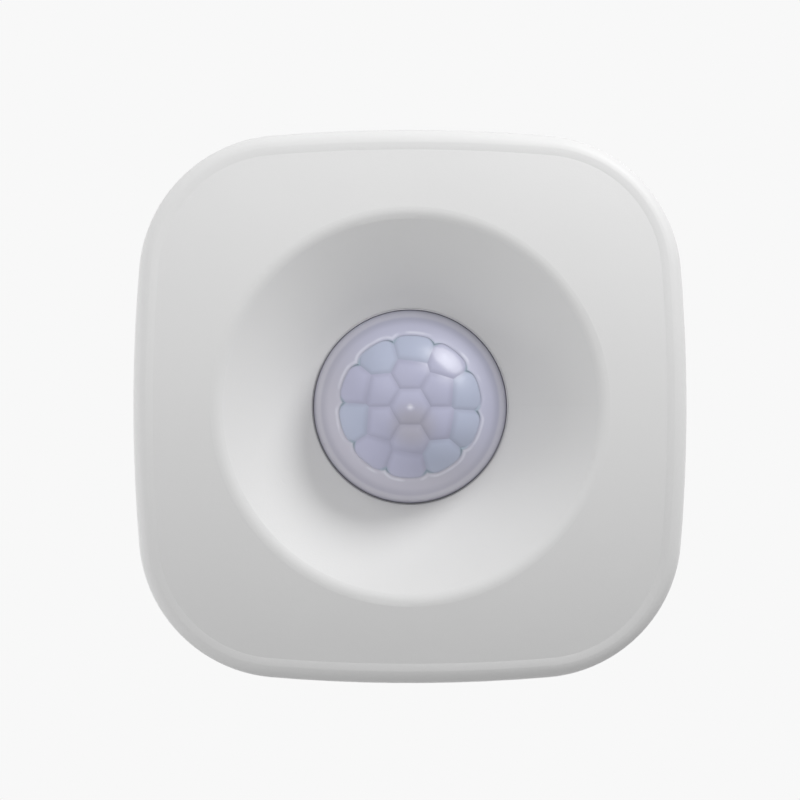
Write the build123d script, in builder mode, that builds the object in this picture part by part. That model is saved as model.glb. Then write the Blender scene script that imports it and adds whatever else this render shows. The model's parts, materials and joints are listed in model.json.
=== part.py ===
from build123d import *
from math import acos, asin, atan2, cos, degrees, hypot, radians, sin, sqrt, tan
import os

os.makedirs("parts", exist_ok=True)

# A battery motion sensor for a wall: a square case with bulged sides, a round dish in its face and a
# milky dome lens in the dish, on a back plate that is screwed or taped to the wall.
#
# Millimetres. The origin is the centre of the face on the wall, the room is towards -Y and up is +Z.
# A name that ends in _h is a distance from the wall, measured towards the room.

# How far a cutting shape runs past the face it cuts, and how close an edge lies to where it is looked for.
overcut = 1.0
hair = 0.01

# ---- Case outline: four shallow side arcs and four corner arcs, all tangent
half_width = 32.5
side_radius = 194.0
corner_radius = 17.0
side_centre = half_width - side_radius
corner_centre = (side_centre + sqrt(2 * (side_radius - corner_radius) ** 2 - side_centre**2)) / 2
side_swing = degrees(asin(corner_centre / (side_radius - corner_radius)))

# ---- Levels
plate_h = 1.5
skirt_h = 3.2
housing_rear_h = 3.45
housing_floor_h = 5.0
seam_h = 14.0
seam_gap = 0.1
board_rear_h = 13.8
board_front_h = 15.0
dish_floor_h = 22.2
lens_apex_h = 30.0

# ---- Front cover
cover_wall = 1.9
face_wall = 1.6
cover_draft = 2.5
lens_hole_radius = 11.45
dish_start_slope = 20.0
dish_slope = 30.0
cone_start_radius = 13.0
dish_rim_radius = 22.4
dish_rim_fillet = 2.2
crown_radius = 90.0
crown_rim_slope = 8.0
face_reach = 46.0
bead_inset = 3.4
bead_rise = 0.12
bead_outer_fillet = 1.7
bead_inner_fillet = 3.0

# ---- Lens, its gasket and its retainer
dome_radius = 11.88
neck_radius = 11.25
lens_wall = 0.9
lens_centre_h = lens_apex_h - dome_radius
flange_radius = 13.6
flange_rear_h = 16.4
flange_front_h = 17.1
gasket_front_h = 17.4
seat_radius = 14.6
lip_inner_radius = 11.3
lip_outer_radius = 11.42
lip_front_h = dish_floor_h - 0.08
cell_depth = 0.25
cell_distance = dome_radius - lens_wall - cell_depth
cell_cut_radius = 5.6
# Rings of cells: angle from the middle, number of cells, and place of the first round the dome.
lens_cells = [(0, 1, 0), (22, 6, 90), (38, 10, 86.6)]
retainer_radius = 14.5
retainer_rear_h = 15.7
stake_circle = 16.5
stake_radius = 0.7
stake_head_h = 15.2
stake_hole_radius = 0.8
ear_radius = 1.6

# ---- Rear housing
rear_draft = 5.0
housing_front_h = seam_h - seam_gap / 2
cover_rear_h = seam_h + seam_gap / 2
lip_root_h = 13.3
lip_top_h = 15.4
lip_inset = 2.05
lip_wall = 0.9
lip_shelf_inset = 1.5
bay_half_length = 25.0
bay_half_width = 11.3
bay_wall = 1.2
bay_roof_h = 12.3
bay_roof_thickness = 1.0
bay_rib_h = 10.2
bay_rib_length = 42.0
bay_rib_width = 0.5
tab_slot_thickness = 0.5
tab_slot_width = 2.0
post_radius = 2.2
board_pin_radius = 0.9
board_pin_proud = 0.5

# ---- Screws
housing_screw_places = [(x, z) for x in (-21.5, 21.5) for z in (-21.5, 21.5)]
column_radius = 3.4
boss_radius = 2.75
counterbore_radius = 2.3
counterbore_h = 8.4
screw_clearance_radius = 1.25
screw_pilot_radius = 1.05
screw_radius = 1.0
screw_head_radius = 2.0
screw_head_height = 1.4
screw_head_fillet = 0.5
screw_tip_h = 19.0
screw_pilot_spare = 0.4
cross_length = 2.2
cross_width = 0.5
cross_depth = 0.8
board_post_places = [(x, z) for x in (-20.5, 20.5) for z in (-15.5, 15.5)]
board_screw_places = [(-20.5, 15.5), (20.5, -15.5)]
board_pin_places = [(-20.5, -15.5), (20.5, 15.5)]
board_screw_radius = 0.9
board_screw_length = 6.2
board_screw_head_radius = 1.7
board_screw_head_height = 1.1
board_pilot_radius = 0.92
board_pilot_depth = 5.4

# ---- Back plate
skirt_wall = 1.6
plate_edge_fillet = 1.0
wall_screw_places = [(0, -20), (0, 20)]
wall_hole_radius = 2.0
wall_countersink_radius = 3.8
wall_boss_radius = 5.5
wall_boss_h = 3.0
wall_screw_relief_radius = 4.6
wall_screw_relief_depth = 0.7
tongue_places = [(x, z) for x in (-9, 9) for z in (-27, 27)]
tongue_width = 6.0
tongue_thickness = 1.2
tongue_bead = 0.3
tongue_bead_low_h = 5.8
tongue_bead_height = 0.8
tongue_top_h = 7.0
tongue_slot_gap = 0.3
tape_places = [(-17, 0), (17, 0)]
tape_width = 14.0
tape_length = 34.0
tape_corner = 1.5
tape_depth = 0.3
pry_notch_width = 10.0
pry_notch_depth = 1.0
pry_notch_reach = 3.0
tongue_bead_places = [(x, z - tongue_thickness / 2 if z > 0 else z + tongue_thickness / 2)
                      for x, z in tongue_places]

# ---- Pairing button in the top side, its switch, and the tamper switch
button_h = 10.6
button_radius = 2.0
button_hole_radius = 2.15
button_hole_low_z = 27.5
button_edge_fillet = 0.3
button_flange_radius = 2.6
button_flange_thickness = 0.7
button_inner_z = 29.2
button_outer_z = 32.2
switch_width = 6.0
switch_rear_z = 23.4
switch_front_z = 27.3
switch_rear_h = button_h - 1.4
switch_plunger_radius = 0.9
switch_bore_radius = 1.0
switch_bore_depth = 1.5
switch_plunger_depth = 0.9
switch_pip_places = [(x, button_h) for x in (-2.4, 2.4)]
switch_pip_radius = 0.35
switch_pip_height = 0.15
tamper_place = (12, -18)
tamper_rod_radius = 1.2
tamper_rod_gap = 0.1
tamper_rod_end_fillet = 0.4
tamper_guide_radius = 2.4
tamper_guide_hole_radius = 1.4
tamper_guide_h = 6.2
tamper_travel = 1.5
tamper_collar_h = tamper_guide_h + tamper_travel
tamper_collar_radius = 1.9
tamper_collar_front_h = tamper_collar_h + 0.6
tamper_stem_radius = 0.8
tamper_stem_depth = 1.9
tamper_bore_radius = 0.95
tamper_bore_top_h = board_rear_h - 0.6
tamper_body_width = 6.0
tamper_body_rear_h = 11.0
tamper_spring_radius = 1.4
tamper_spring_tip_radius = 1.25
tamper_spring_wire = 0.2
tamper_spring_turns = 3
spring_end_gap = 0.02

# ---- Batteries and contacts
battery_z = 5.6
battery_h = 6.95
battery_radius = 5.1
battery_length = 44.5
battery_pole_x = 24.3
battery_pole_height = 0.8
battery_pole_radius = 1.9
sleeve_radius = 5.2
sleeve_trim = 0.3
contact_thickness = 0.4
contact_low_h = 2.6
contact_high_h = 11.3
contact_width = 9.2
contact_dimple_radius = 1.5
contact_gap = 0.02
terminal_tab_width = 1.6
terminal_tab_top_h = board_front_h + 0.4
terminal_slot_places = [(bay_half_length - contact_thickness / 2, z) for z in (-battery_z, battery_z)]
spring_wire = 0.3
spring_base_radius = 3.5
spring_tip_radius = 2.0
spring_turns = 4

# ---- Main circuit board and what it carries
board_inset = 4.5
board_notch_radius = 3.7
board_screw_hole_radius = 1.1
board_pin_hole_radius = 1.0
board_slot_gap = 0.15
pir_base_h = 15.2
pir_top_h = 19.4
pir_header_height = 0.4
pir_seat_h = pir_base_h + pir_header_height
pir_can_radius = 4.1
pir_can_wall = 0.25
pir_edge_fillet = 0.3
pir_flange_radius = 4.7
pir_flange_thickness = 0.4
pir_step_radius = 3.75
pir_step_height = 0.8
pir_window_width = 4.0
pir_window_height = 3.0
pir_window_thickness = 0.4
pir_window_margin = 0.5
pir_window_gap = 0.05
pir_lead_radius = 0.22
pir_lead_hole_radius = 0.37
pir_lead_depth = 0.3
pir_lead_tail = 0.4
pir_lead_places = [(-2.54, 0), (2.54, 0), (0, -2.54)]
led_place = (6.4, -5.4)
led_length = 1.6
led_width = 0.8
led_foot = 0.35
led_dome_length = 1.1
led_height = 0.75
radio_place = (-21.85, 0)
radio_width = 11.3
radio_length = 18.0
radio_thickness = 0.8
radio_pad_radius = 0.35
radio_pad_places = [(radio_place[0] + side * radio_width / 2, z)
                    for side in (-1, 1) for z in range(-7, 8, 2)]
shield_place = (-21.85, -2.5)
shield_width = 10.3
shield_length = 11.5
shield_base_h = board_front_h + radio_thickness
shield_height = 2.2
shield_corner = 0.6
shield_edge_fillet = 0.2
shield_wall = 0.2
controller_place = (12, 21)
controller_size = 5.0
controller_height = 0.9
controller_chamfer = 0.1
amplifier_place = (21, 4.5)
amplifier_width = 3.9
amplifier_length = 4.9
amplifier_foot = 0.15
amplifier_height = 1.6
amplifier_chamfer = 0.25
regulator_place = (21, -5)
regulator_width = 1.6
regulator_length = 2.9
regulator_foot = 0.1
regulator_height = 1.2
regulator_chamfer = 0.2
lead_width = 0.35
lead_thickness = 0.15
lead_knee_reach = 0.5
lead_heel_reach = 0.7
lead_toe_reach = 1.1
crystal_place = (5.5, 22.5)
crystal_width = 3.2
crystal_length = 2.5
crystal_height = 0.8
crystal_corner = 0.3
electrolytic_place = (-10, 21.5)
electrolytic_radius = 2.5
electrolytic_height = 5.4
electrolytic_edge_fillet = 0.3
electrolytic_foot = 0.4
electrolytic_foot_width = 5.3
electrolytic_foot_chamfer = 0.8
electrolytic_groove_rise = 0.7
electrolytic_groove_width = 0.4
electrolytic_groove_depth = 0.2
inductor_place = (-8, -22)
inductor_width = 4.0
inductor_height = 1.8
inductor_corner = 0.7
small_part_width = 0.8
small_part_length = 1.6
capacitor_height = 0.8
resistor_height = 0.45
capacitor_places = [(x, -23) for x in (-2, 0.5, 3)] + [(x, 10.8) for x in (17.5, 20, 22.5, 25)]
resistor_places = [(x, -11) for x in (17.5, 19.7, 21.9, 24.1)] + [(x, -22.5) for x in (6, 8.2, 10.4, 12.6)]

# Heights of the face, worked out from the dish inwards.
chord_slope = (dish_slope + dish_start_slope) / 2
cone_start_h = dish_floor_h + (cone_start_radius - lens_hole_radius) * tan(radians(chord_slope))
dish_rim_h = cone_start_h + (dish_rim_radius - cone_start_radius) * tan(radians(dish_slope))
crown_centre_radius = dish_rim_radius - crown_radius * sin(radians(crown_rim_slope))
crown_centre_h = dish_rim_h - crown_radius * cos(radians(crown_rim_slope))


def crown_h(radius):
    """Height of the crowned face at a distance from the middle, outside the dish."""
    return crown_centre_h + sqrt(crown_radius**2 - (radius - crown_centre_radius) ** 2)


crown_middle_radius = (dish_rim_radius + face_reach) / 2
bead_slope_width = sqrt(bead_inner_fillet**2 - (bead_inner_fillet - bead_rise) ** 2)
bead_wall_inset = bead_inset + bead_inner_fillet - bead_slope_width
bead_low_h = (seam_h + dish_rim_h) / 2


def draft_of(h):
    """How far the front cover's draft draws its sides in at a distance from the wall."""
    return (h - seam_h) * tan(radians(cover_draft))


def rear_inset(h):
    """How far the rear housing and the back plate draw in at a distance from the wall."""
    return (seam_h - h) * tan(radians(rear_draft))


# Planes: a level is parallel to the wall and faces the room. On the section plane, x is the distance
# from the middle axis and y is the distance from the wall.
section = Plane(origin=(0, 0, 0), x_dir=(1, 0, 0), z_dir=(0, 0, -1))


def level(h):
    return Plane.XZ.offset(h)


def outline(inset):
    """Case outline in the open sketch, drawn in by inset from the widest part."""
    with BuildLine() as edge:
        for quarter in range(4):
            turn = 90 * quarter
            side = Vector(side_centre, 0).rotate(Axis.Z, turn)
            corner = Vector(corner_centre, corner_centre).rotate(Axis.Z, turn)
            CenterArc(side, side_radius - inset, turn - side_swing, 2 * side_swing)
            CenterArc(corner, corner_radius - inset, turn + side_swing, 90 - 2 * side_swing)
    make_face(edge.edges())


def case_block(low_h, high_h, low_inset, high_inset, mode=Mode.ADD):
    """Solid of the case outline between two levels, its sides leaning from one inset to the other."""
    with BuildSketch(level(low_h)) as low:
        outline(low_inset)
    with BuildSketch(level(high_h)) as high:
        outline(high_inset)
    loft([low.sketch, high.sketch], ruled=True, mode=mode)


def turned(points, mode=Mode.ADD):
    """Solid turned about the middle axis from a closed section of (radius, h) points."""
    with BuildSketch(section) as profile:
        with BuildLine():
            Polyline(*points, close=True)
        make_face()
    revolve(profile.sketch, axis=Axis.Y, mode=mode)


def pins(places, radius, low_h, high_h, mode=Mode.ADD):
    """Round pins, or round holes with Mode.SUBTRACT, square to the wall at (x, z) places."""
    with BuildSketch(level(low_h)) as ends:
        with Locations(*places):
            Circle(radius)
    extrude(ends.sketch, amount=high_h - low_h, mode=mode)


def blocks(places, width, height, low_h, high_h, mode=Mode.ADD):
    """Rectangular blocks, or pockets with Mode.SUBTRACT, between two levels at (x, z) places."""
    with BuildSketch(level(low_h)) as ends:
        with Locations(*places):
            Rectangle(width, height)
    extrude(ends.sketch, amount=high_h - low_h, mode=mode)


def inset_at(point):
    """How far a point of a case wall lies inside the widest outline."""
    high, low = sorted((abs(point.X), abs(point.Z)), reverse=True)
    if degrees(atan2(low, high - side_centre)) < side_swing:
        return side_radius - hypot(high - side_centre, low)
    return corner_radius - hypot(high - corner_centre, low - corner_centre)


def upright(z):
    """The plane across the up axis at height z. On it, x is across and y is the distance from the wall."""
    return Plane(origin=(0, 0, z), x_dir=(1, 0, 0), z_dir=(0, 0, -1))


def upright_pins(places, radius, low_z, high_z, mode=Mode.ADD):
    """Round pins along the up axis, at (x, h) places."""
    with BuildSketch(upright(high_z)) as ends:
        with Locations(*places):
            Circle(radius)
    extrude(ends.sketch, amount=high_z - low_z, mode=mode)


def sideways_pin(h, z, radius, low_x, high_x, mode=Mode.ADD):
    """Round pin along the sideways axis."""
    with BuildSketch(Plane(origin=(low_x, -h, z), x_dir=(0, 1, 0), z_dir=(1, 0, 0))) as end:
        Circle(radius)
    extrude(end.sketch, amount=high_x - low_x, mode=mode)


def coil(start, direction, height, turns, base_radius, tip_radius, wire_radius):
    """Helical spring of round wire, from its base at start to its tip, along direction."""
    lean = degrees(atan2(tip_radius - base_radius, height))
    with BuildLine() as path:
        Helix(height / turns, height, base_radius, center=start, direction=direction, cone_angle=lean)
    with BuildSketch(Plane(origin=path.line @ 0, z_dir=path.line % 0)) as wire:
        Circle(wire_radius)
    sweep(wire.sketch, path=path.line, is_frenet=True)


# ---- Front cover: dished face, rim bead, walls, screw bosses and lens seat
def dished_solid(lower):
    """Solid under the crowned and dished face, which lies lower than the outside by lower."""
    hole_edge = (lens_hole_radius, dish_floor_h - lower)
    cone_start = (cone_start_radius, cone_start_h - lower)
    rim = (dish_rim_radius, dish_rim_h - lower)
    face_middle = (crown_middle_radius, crown_h(crown_middle_radius) - lower)
    face_edge = (face_reach, crown_h(face_reach) - lower)
    towards_hole = (-cos(radians(dish_slope)), -sin(radians(dish_slope)))
    with BuildSketch(section) as profile:
        with BuildLine():
            TangentArc(cone_start, hole_edge, tangent=towards_hole)
            Line(cone_start, rim)
            ThreePointArc(rim, face_middle, face_edge)
            Polyline(face_edge, (face_reach, seam_h), (lens_hole_radius, seam_h), hole_edge)
        make_face()
        fillet(vertices().filter_by(lambda v: abs(v.X - dish_rim_radius) < hair), dish_rim_fillet)
    revolve(profile.sketch, axis=Axis.Y)


with BuildPart() as outer_form:
    dished_solid(0)

with BuildPart() as room_form:
    dished_solid(face_wall)

with BuildPart() as rim_bead:
    with BuildSketch(section):
        with BuildLine():
            bead_start = (dish_rim_radius, dish_rim_h + bead_rise)
            bead_middle = (crown_middle_radius, crown_h(crown_middle_radius) + bead_rise)
            bead_end = (face_reach, crown_h(face_reach) + bead_rise)
            ThreePointArc(bead_start, bead_middle, bead_end)
            Polyline(bead_end, (face_reach, seam_h), (dish_rim_radius, seam_h), bead_start)
        make_face()
    revolve(axis=Axis.Y)
    case_block(cover_rear_h, dish_rim_h, 0, draft_of(dish_rim_h), Mode.INTERSECT)
    case_block(seam_h - overcut, dish_rim_h + overcut, bead_wall_inset, bead_wall_inset, Mode.SUBTRACT)
    crest = edges().filter_by(lambda e: -(e @ 0.5).Y > bead_low_h and e.length > bead_inset * 2)
    fillet(crest.filter_by(lambda e: abs(inset_at(e @ 0.5) - bead_wall_inset) < hair), bead_inner_fillet)
    crest = edges().filter_by(lambda e: -(e @ 0.5).Y > bead_low_h and e.length > bead_inset * 2)
    fillet(crest.filter_by(lambda e: inset_at(e @ 0.5) < bead_inset / 2), bead_outer_fillet)

with BuildPart() as cover_room:
    add(room_form.part)
    case_block(seam_h, dish_rim_h, cover_wall, cover_wall + draft_of(dish_rim_h), Mode.INTERSECT)

with BuildPart() as cover_bosses:
    pins(housing_screw_places, boss_radius, cover_rear_h, dish_rim_h)
    add(outer_form.part, mode=Mode.INTERSECT)

with BuildPart() as stake_pins:
    with BuildSketch(level(stake_head_h)) as stake_ends:
        with PolarLocations(stake_circle, 3, start_angle=90):
            Circle(stake_radius)
    extrude(stake_ends.sketch, amount=dish_rim_h - stake_head_h)
    add(outer_form.part, mode=Mode.INTERSECT)

with BuildPart() as front_cover:
    add(outer_form.part)
    case_block(cover_rear_h, dish_rim_h, bead_inset / 2, bead_inset / 2, Mode.INTERSECT)
    add(rim_bead.part)
    add(cover_room.part, mode=Mode.SUBTRACT)
    pins([(0, 0)], lens_hole_radius, seam_h - overcut, gasket_front_h, Mode.SUBTRACT)
    turned([(lens_hole_radius, gasket_front_h), (seat_radius, gasket_front_h),
            (seat_radius, dish_floor_h), (lens_hole_radius, dish_floor_h - face_wall / 2)])
    add(cover_bosses.part)
    add(stake_pins.part)
    pins(housing_screw_places, screw_pilot_radius, seam_h - overcut, screw_tip_h + screw_pilot_spare,
         Mode.SUBTRACT)
front_cover.part.label = "front_cover"
export_step(front_cover.part, "parts/front_cover.step")

# ---- Lens: a dome on a straight neck with a flange, and flat cells on its inside
def dome_on_neck(dome, neck, *foot):
    """Solid turned from a dome that runs into a neck, its section closed through the foot points."""
    swing = degrees(acos(neck / dome))
    with BuildSketch(section) as profile:
        with BuildLine():
            crown = CenterArc((0, lens_centre_h), dome, swing, 90 - swing)
            Polyline(crown @ 1, *foot, crown @ 0)
        make_face()
    revolve(profile.sketch, axis=Axis.Y)


def cell_planes():
    """Plane of each cell's flat, facing out of the dome."""
    for polar, count, first in lens_cells:
        for cell in range(count):
            turn = radians(first + 360 / count * cell)
            towards = Vector(sin(radians(polar)) * cos(turn), -cos(radians(polar)),
                             sin(radians(polar)) * sin(turn))
            yield Plane(origin=Vector(0, -lens_centre_h, 0) + towards * cell_distance, z_dir=towards)


with BuildPart() as lens_hollow:
    dome_on_neck(dome_radius - lens_wall, neck_radius - lens_wall,
                 (0, flange_rear_h - overcut), (neck_radius - lens_wall, flange_rear_h - overcut))
    for cell_plane in cell_planes():
        with BuildSketch(cell_plane) as cell_face:
            Circle(cell_cut_radius)
        extrude(cell_face.sketch, amount=lens_wall, mode=Mode.SUBTRACT)

with BuildPart() as lens:
    dome_on_neck(dome_radius, neck_radius, (0, flange_rear_h), (flange_radius, flange_rear_h),
                 (flange_radius, flange_front_h), (neck_radius, flange_front_h))
    add(lens_hollow.part, mode=Mode.SUBTRACT)
lens.part.label = "lens"
export_step(lens.part, "parts/lens.step")

# ---- Lens gasket: flat ring on the flange, with a lip that fills the gap round the dome
with BuildPart() as lens_gasket:
    turned([(lip_inner_radius, flange_front_h), (flange_radius, flange_front_h),
            (flange_radius, gasket_front_h), (lip_outer_radius, gasket_front_h),
            (lip_outer_radius, lip_front_h), (lip_inner_radius, lip_front_h)])
lens_gasket.part.label = "lens_gasket"
export_step(lens_gasket.part, "parts/lens_gasket.step")

# ---- Lens retainer: ring with three ears, held by the heads of the cover's melted pins
with BuildPart() as lens_retainer:
    pins([(0, 0)], retainer_radius, retainer_rear_h, flange_rear_h)
    with BuildSketch(level(retainer_rear_h)) as ears:
        with PolarLocations(stake_circle, 3, start_angle=90):
            Circle(ear_radius)
        with PolarLocations(stake_circle / 2 + retainer_radius / 2, 3, start_angle=90):
            Rectangle(stake_circle - retainer_radius + overcut, ear_radius * 2)
    extrude(ears.sketch, amount=flange_rear_h - retainer_rear_h)
    pins([(0, 0)], neck_radius - lens_wall, retainer_rear_h, flange_rear_h, Mode.SUBTRACT)
    with BuildSketch(level(retainer_rear_h)) as stake_holes:
        with PolarLocations(stake_circle, 3, start_angle=90):
            Circle(stake_hole_radius)
    extrude(stake_holes.sketch, amount=flange_rear_h - retainer_rear_h, mode=Mode.SUBTRACT)
lens_retainer.part.label = "lens_retainer"
export_step(lens_retainer.part, "parts/lens_retainer.step")

# ---- Rear housing: walls, rear wall, battery bay, screw columns, board posts, tongue lip
with BuildPart() as rear_housing:
    case_block(housing_rear_h, housing_front_h, rear_inset(housing_rear_h), rear_inset(housing_front_h))
    case_block(housing_floor_h, seam_h + overcut, cover_wall + rear_inset(housing_floor_h),
               cover_wall + rear_inset(seam_h + overcut), Mode.SUBTRACT)
    case_block(lip_root_h, housing_front_h, lip_shelf_inset, lip_shelf_inset)
    case_block(housing_front_h, lip_top_h, lip_inset, lip_inset)
    case_block(lip_root_h - overcut, lip_top_h + overcut, lip_inset + lip_wall, lip_inset + lip_wall,
               Mode.SUBTRACT)
    blocks([(0, 0)], 2 * (bay_half_length + bay_wall), 2 * (bay_half_width + bay_wall),
           housing_rear_h, bay_roof_h + bay_roof_thickness)
    pins(housing_screw_places, column_radius, housing_floor_h, housing_front_h)
    pins(board_post_places, post_radius, housing_floor_h, board_rear_h)
    pins(board_pin_places, board_pin_radius, board_rear_h, board_front_h + board_pin_proud)
    pins([tamper_place], tamper_guide_radius, housing_floor_h, tamper_guide_h)
    blocks([(0, 0)], 2 * bay_half_length, 2 * bay_half_width, housing_rear_h - overcut, bay_roof_h,
           Mode.SUBTRACT)
    blocks([(0, 0)], bay_rib_length, bay_rib_width, bay_rib_h, bay_roof_h)
    blocks(terminal_slot_places, tab_slot_thickness, tab_slot_width, bay_roof_h - hair,
           bay_roof_h + bay_roof_thickness + overcut, Mode.SUBTRACT)
    pins(housing_screw_places, screw_clearance_radius, housing_rear_h - overcut, housing_front_h,
         Mode.SUBTRACT)
    pins(housing_screw_places, counterbore_radius, housing_rear_h - overcut, counterbore_h, Mode.SUBTRACT)
    pins(board_screw_places, board_pilot_radius, board_rear_h - board_pilot_depth, board_rear_h,
         Mode.SUBTRACT)
    pins([tamper_place], tamper_guide_hole_radius, housing_rear_h - overcut, tamper_guide_h, Mode.SUBTRACT)
    pins(wall_screw_places, wall_screw_relief_radius, housing_rear_h - overcut,
         housing_rear_h + wall_screw_relief_depth, Mode.SUBTRACT)
    blocks(tongue_places, tongue_width + 2 * tongue_slot_gap, tongue_thickness + 2 * tongue_slot_gap,
           housing_rear_h - overcut, housing_floor_h + overcut, Mode.SUBTRACT)
    upright_pins([(0, button_h)], button_hole_radius, button_hole_low_z, half_width + overcut,
                 Mode.SUBTRACT)
rear_housing.part.label = "rear_housing"
export_step(rear_housing.part, "parts/rear_housing.step")

# ---- Back plate: on the wall, with screw bosses, tape recesses, snap tongues and a pry notch
with BuildPart() as back_plate:
    case_block(0, skirt_h, rear_inset(0), rear_inset(skirt_h))
    fillet(edges().filter_by(lambda e: abs((e @ 0.5).Y) < hair), plate_edge_fillet)
    case_block(plate_h, skirt_h + overcut, rear_inset(plate_h) + skirt_wall,
               rear_inset(skirt_h + overcut) + skirt_wall, Mode.SUBTRACT)
    pins(wall_screw_places, wall_boss_radius, plate_h, wall_boss_h)
    blocks(tongue_places, tongue_width, tongue_thickness, plate_h, tongue_top_h)
    with BuildSketch(level(tongue_bead_low_h)) as beads:
        with Locations(*tongue_bead_places):
            Rectangle(tongue_width, tongue_bead * 2)
    extrude(beads.sketch, amount=tongue_bead_height)
    with BuildSketch(level(0)) as recesses:
        with Locations(*tape_places):
            RectangleRounded(tape_width, tape_length, tape_corner)
    extrude(recesses.sketch, amount=tape_depth, mode=Mode.SUBTRACT)
    pins(wall_screw_places, wall_hole_radius, -overcut, wall_boss_h + overcut, Mode.SUBTRACT)
    for x, z in wall_screw_places:
        with Locations(Location((x, -wall_boss_h, z), (90, 0, 0))):
            Cone(wall_hole_radius, wall_countersink_radius, wall_countersink_radius - wall_hole_radius,
                 align=(Align.CENTER, Align.CENTER, Align.MAX), mode=Mode.SUBTRACT)
    blocks([(0, -half_width)], pry_notch_width, 2 * pry_notch_reach, skirt_h - pry_notch_depth,
           skirt_h + overcut, Mode.SUBTRACT)
back_plate.part.label = "back_plate"
export_step(back_plate.part, "parts/back_plate.step")

# ---- Main circuit board
with BuildPart() as main_pcb:
    through_board = (board_rear_h - overcut, board_front_h + overcut, Mode.SUBTRACT)
    case_block(board_rear_h, board_front_h, board_inset, board_inset)
    pins(housing_screw_places, board_notch_radius, *through_board)
    pins(board_screw_places, board_screw_hole_radius, *through_board)
    pins(board_pin_places, board_pin_hole_radius, *through_board)
    pins(pir_lead_places, pir_lead_hole_radius, *through_board)
    blocks(terminal_slot_places, contact_thickness + 2 * board_slot_gap,
           terminal_tab_width + 2 * board_slot_gap, *through_board)
main_pcb.part.label = "main_pcb"
export_step(main_pcb.part, "parts/main_pcb.step")

# ---- PIR detector: a metal can with a window, on a header with three leads
with BuildPart() as pir_can:
    pins([(0, 0)], pir_can_radius, pir_seat_h, pir_top_h)
    pins([(0, 0)], pir_flange_radius, pir_seat_h, pir_seat_h + pir_flange_thickness)
    pins([(0, 0)], pir_can_radius - pir_can_wall, pir_base_h, pir_top_h - pir_can_wall, Mode.SUBTRACT)
    blocks([(0, 0)], pir_window_width, pir_window_height, pir_base_h, pir_top_h + overcut, Mode.SUBTRACT)
    can_edges = edges().filter_by(GeomType.CIRCLE).filter_by(lambda e: abs(e.radius - pir_can_radius) < hair)
    fillet(can_edges.filter_by(lambda e: -(e @ 0.5).Y > pir_top_h - hair), pir_edge_fillet)
pir_can.part.label = "pir_can"
export_step(pir_can.part, "parts/pir_can.step")

with BuildPart() as pir_window:
    blocks([(0, 0)], pir_window_width + 2 * pir_window_margin, pir_window_height + 2 * pir_window_margin,
           pir_top_h - pir_can_wall - pir_window_thickness, pir_top_h - pir_can_wall)
    blocks([(0, 0)], pir_window_width - 2 * pir_window_gap, pir_window_height - 2 * pir_window_gap,
           pir_top_h - pir_can_wall, pir_top_h - pir_window_gap)
pir_window.part.label = "pir_window"
export_step(pir_window.part, "parts/pir_window.step")

with BuildPart() as pir_header:
    pins([(0, 0)], pir_flange_radius, pir_base_h, pir_seat_h)
    pins([(0, 0)], pir_step_radius, pir_base_h, pir_seat_h + pir_step_height)
    pins(pir_lead_places, pir_lead_radius, pir_base_h - overcut, pir_base_h + pir_lead_depth,
         Mode.SUBTRACT)
pir_header.part.label = "pir_header"
export_step(pir_header.part, "parts/pir_header.step")

with BuildPart() as pir_leads:
    pins(pir_lead_places, pir_lead_radius, board_rear_h - pir_lead_tail, pir_base_h + pir_lead_depth)
pir_leads.part.label = "pir_leads"
export_step(pir_leads.part, "parts/pir_leads.step")

# ---- Status light, under the dome
with BuildPart() as status_led:
    blocks([led_place], led_length, led_width, board_front_h, board_front_h + led_foot)
    blocks([led_place], led_dome_length, led_width, board_front_h + led_foot, board_front_h + led_height)
status_led.part.label = "status_led"
export_step(status_led.part, "parts/status_led.step")

# ---- Radio module: its own small board, with a shield can
with BuildPart() as radio_module_board:
    blocks([radio_place], radio_width, radio_length, board_front_h, board_front_h + radio_thickness)
    with BuildSketch(level(board_front_h)) as edge_pads:
        with Locations(*radio_pad_places):
            Circle(radio_pad_radius)
    extrude(edge_pads.sketch, amount=radio_thickness, mode=Mode.SUBTRACT)
radio_module_board.part.label = "radio_module_board"
export_step(radio_module_board.part, "parts/radio_module_board.step")

with BuildPart() as radio_shield_can:
    blocks([shield_place], shield_width, shield_length, shield_base_h, shield_base_h + shield_height)
    fillet(edges().filter_by(Axis.Y), shield_corner)
    fillet(faces().sort_by(Axis.Y)[0].edges(), shield_edge_fillet)
    blocks([shield_place], shield_width - 2 * shield_wall, shield_length - 2 * shield_wall,
           shield_base_h - overcut, shield_base_h + shield_height - shield_wall, Mode.SUBTRACT)
radio_shield_can.part.label = "radio_shield_can"
export_step(radio_shield_can.part, "parts/radio_shield_can.step")

# ---- Chips and their leads
with BuildPart() as controller_chip:
    blocks([controller_place], controller_size, controller_size, board_front_h,
           board_front_h + controller_height)
    chamfer(faces().sort_by(Axis.Y)[0].edges(), controller_chamfer)
controller_chip.part.label = "controller_chip"
export_step(controller_chip.part, "parts/controller_chip.step")

with BuildPart() as amplifier_chip:
    blocks([amplifier_place], amplifier_width, amplifier_length, board_front_h + amplifier_foot,
           board_front_h + amplifier_height)
    chamfer(faces().sort_by(Axis.Y)[0].edges(), amplifier_chamfer)
amplifier_chip.part.label = "amplifier_chip"
export_step(amplifier_chip.part, "parts/amplifier_chip.step")

with BuildPart() as regulator_chip:
    blocks([regulator_place], regulator_width, regulator_length, board_front_h + regulator_foot,
           board_front_h + regulator_height)
    chamfer(faces().sort_by(Axis.Y)[0].edges(), regulator_chamfer)
regulator_chip.part.label = "regulator_chip"
export_step(regulator_chip.part, "parts/regulator_chip.step")


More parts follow.
